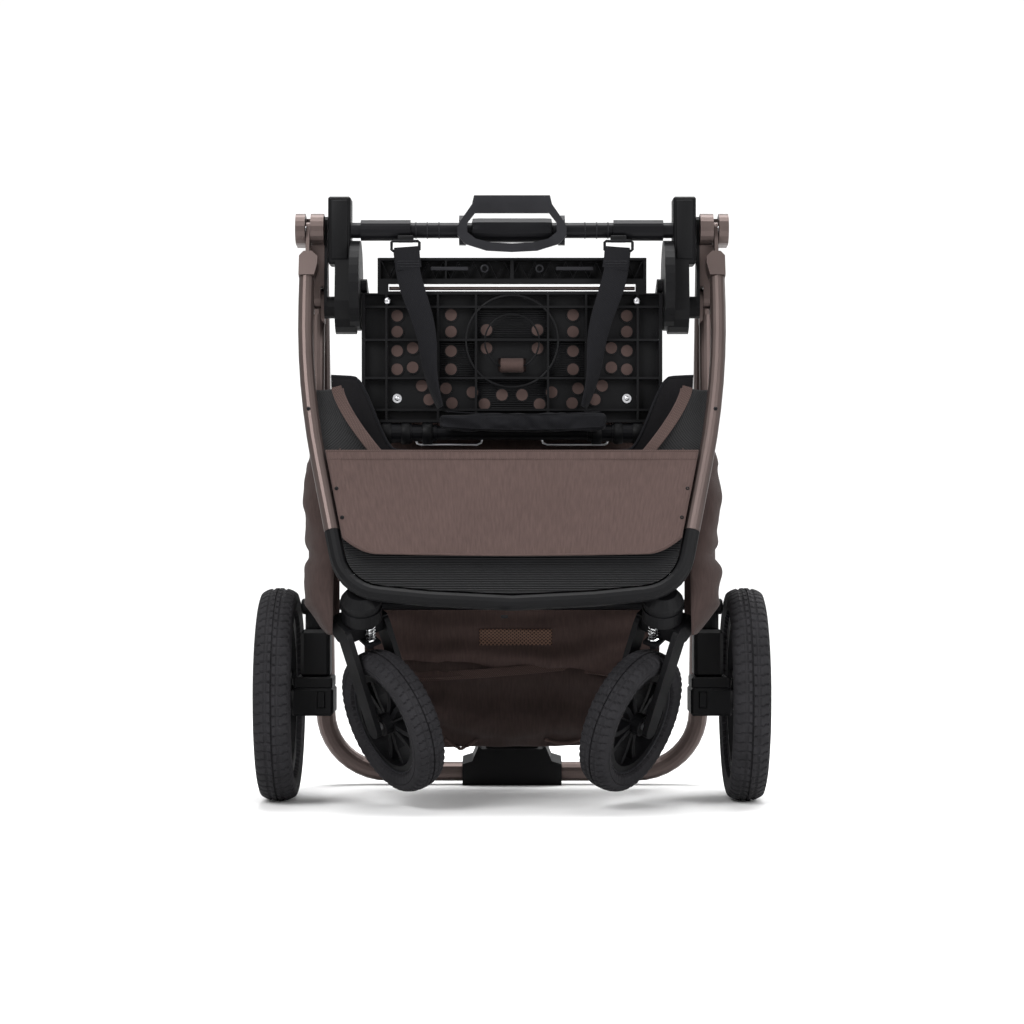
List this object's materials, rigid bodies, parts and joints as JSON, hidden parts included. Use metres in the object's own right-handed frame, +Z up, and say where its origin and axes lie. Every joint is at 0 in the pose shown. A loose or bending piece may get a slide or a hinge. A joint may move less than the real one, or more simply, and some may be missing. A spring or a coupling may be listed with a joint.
{
  "type": "pet stroller",
  "caption": "Folding four-wheel pet stroller, folded and standing: leg frames, swivelling front casters, basket, seat unit, canopy and folding handlebar.",
  "frame": {"origin": "middle of the bottom of the overall box: the floor under the folded stroller", "axes": "+Z up, -Y towards the front, where the casters and footrest are, X across"},
  "size_m": [0.6, 0.387, 0.7206],
  "materials": {
    "bronze": "satin metallic bronze",
    "black_plastic": "fine moulded grain",
    "black_metal": "satin black powder coat",
    "tyre": "matte, block tread",
    "chrome": "bright",
    "steel": "bright zinc",
    "brown_fabric": "fine ribbed weave",
    "webbing": "woven webbing"
  },
  "bodies": {
    "hub": {"hub_left": "bronze", "hub_right": "bronze", "leg_pin_left": "steel", "leg_pin_right": "steel", "seat_adapter_left": "black_plastic", "seat_adapter_right": "black_plastic"},
    "front_frame": {"basket_front": "brown_fabric", "caster_housing_left": "black_plastic", "caster_housing_right": "black_plastic", "footrest_bar": "black_plastic", "footrest_plate": "black_plastic", "front_leg_left": "bronze", "front_leg_right": "bronze", "leg_cap_left": "bronze", "leg_cap_right": "bronze"},
    "rear_frame": {"basket_rear": "brown_fabric", "cross_tube": "black_metal", "rear_axle_left": "steel", "rear_axle_right": "steel", "rear_leg_left": "bronze", "rear_leg_right": "bronze", "wheel_bracket_left": "black_plastic", "wheel_bracket_right": "black_plastic"},
    "handlebar": {"handle_housing": "black_plastic", "handle_lug_left": "bronze", "handle_lug_right": "bronze", "handle_tube_left": "bronze", "handle_tube_right": "bronze"},
    "seat": {"carry_tube": "black_metal", "front_tube": "black_metal", "seat_board": "black_plastic", "seat_cushion": "brown_fabric", "seat_side_left": "black_plastic", "seat_side_right": "black_plastic", "shoulder_pad": "webbing", "strap_left": "webbing", "strap_right": "webbing"},
    "backrest": {"backrest_pad": "brown_fabric", "backrest_shell": "black_plastic"},
    "canopy": {"canopy_fabric": "brown_fabric"},
    "carry_handle": {"carry_handle": "black_plastic"},
    "brake": {"brake_pedal": "black_plastic"},
    "fold_button": {"fold_button": "black_plastic"},
    "caster_left": {"caster_fork_left": "black_plastic", "caster_spring_left": "chrome", "front_axle_left": "steel"},
    "front_wheel_left": {"front_rim_left": "black_plastic", "front_tyre_left": "tyre"},
    "rear_wheel_left": {"rear_rim_left": "black_plastic", "rear_tyre_left": "tyre"},
    "wheel_release_left": {"wheel_release_left": "black_plastic"},
    "caster_right": {"caster_fork_right": "black_plastic", "caster_spring_right": "chrome", "front_axle_right": "steel"},
    "front_wheel_right": {"front_rim_right": "black_plastic", "front_tyre_right": "tyre"},
    "rear_wheel_right": {"rear_rim_right": "black_plastic", "rear_tyre_right": "tyre"},
    "wheel_release_right": {"wheel_release_right": "black_plastic"}
  },
  "joints": [
    {"name": "handlebar_fold", "type": "hinge", "parent": "hub", "child": "handlebar", "pos_m": [0, 0.02428, 0.678], "axis": [1, 0, 0], "range_deg": [0, 127]},
    {"name": "front_legs_fold", "type": "hinge", "parent": "hub", "child": "front_frame", "pos_m": [0, -0.01672, 0.683], "axis": [-1, 0, 0], "range_deg": [0, 33]},
    {"name": "rear_legs_fold", "type": "hinge", "parent": "hub", "child": "rear_frame", "pos_m": [0, 0.00328, 0.602], "axis": [1, 0, 0], "range_deg": [0, 50]},
    {"name": "seat_unfold", "type": "hinge", "parent": "hub", "child": "seat", "pos_m": [0, -0.01172, 0.59], "axis": [1, 0, 0], "range_deg": [0, 91]},
    {"name": "backrest_recline", "type": "hinge", "parent": "seat", "child": "backrest", "pos_m": [0, -0.01172, 0.616], "axis": [1, 0, 0], "range_deg": [0, 96]},
    {"name": "canopy_open", "type": "hinge", "parent": "backrest", "child": "canopy", "pos_m": [0, 0.09538, 0.24682], "axis": [1, 0, 0], "range_deg": [0, 80]},
    {"name": "carry_handle_swing", "type": "hinge", "parent": "seat", "child": "carry_handle", "pos_m": [0, -0.02372, 0.681], "axis": [-1, 0, 0], "range_deg": [0, 95]},
    {"name": "brake_press", "type": "hinge", "parent": "rear_frame", "child": "brake", "pos_m": [0.237, 0.03128, 0.145], "axis": [-1, 0, 0], "range_deg": [0, 20]},
    {"name": "fold_button_press", "type": "slide", "parent": "handlebar", "child": "fold_button", "axis": [0, 0.2197, -0.9756], "range_m": [0, 0.005], "stiffness_N_per_m": 900, "springref_m": -0.002},
    {"name": "caster_swivel_left", "type": "hinge", "parent": "front_frame", "child": "caster_left", "pos_m": [-0.1725, -0.15772, 0.244], "axis": [0, -0.5878, 0.809], "range_deg": [-72, 46]},
    {"name": "front_wheel_spin_left", "type": "hinge", "parent": "caster_left", "child": "front_wheel_left", "pos_m": [-0.13841, -0.11339, 0.10316], "axis": [-0.809, -0.4755, -0.3455], "continuous": true},
    {"name": "rear_wheel_spin_left", "type": "hinge", "parent": "rear_frame", "child": "rear_wheel_left", "pos_m": [-0.278, -0.01172, 0.127], "axis": [1, 0, 0], "continuous": true},
    {"name": "wheel_release_press_left", "type": "slide", "parent": "rear_frame", "child": "wheel_release_left", "axis": [0, 1, 0], "range_m": [0, 0.0025], "stiffness_N_per_m": 600, "springref_m": -0.001},
    {"name": "caster_swivel_right", "type": "hinge", "parent": "front_frame", "child": "caster_right", "pos_m": [0.1725, -0.15772, 0.244], "axis": [0, -0.5878, 0.809], "range_deg": [-46, 72]},
    {"name": "front_wheel_spin_right", "type": "hinge", "parent": "caster_right", "child": "front_wheel_right", "pos_m": [0.13841, -0.11339, 0.10316], "axis": [-0.809, 0.4755, 0.3455], "continuous": true},
    {"name": "rear_wheel_spin_right", "type": "hinge", "parent": "rear_frame", "child": "rear_wheel_right", "pos_m": [0.278, -0.01172, 0.127], "axis": [1, 0, 0], "continuous": true},
    {"name": "wheel_release_press_right", "type": "slide", "parent": "rear_frame", "child": "wheel_release_right", "axis": [0, 1, 0], "range_m": [0, 0.0025], "stiffness_N_per_m": 600, "springref_m": -0.001}
  ],
  "couplings": [
    {"joint": "front_legs_fold", "follows": "handlebar_fold", "ratio": 0.25197},
    {"joint": "rear_legs_fold", "follows": "handlebar_fold", "ratio": 0.38583},
    {"joint": "seat_unfold", "follows": "handlebar_fold", "ratio": 0.70866}
  ]
}
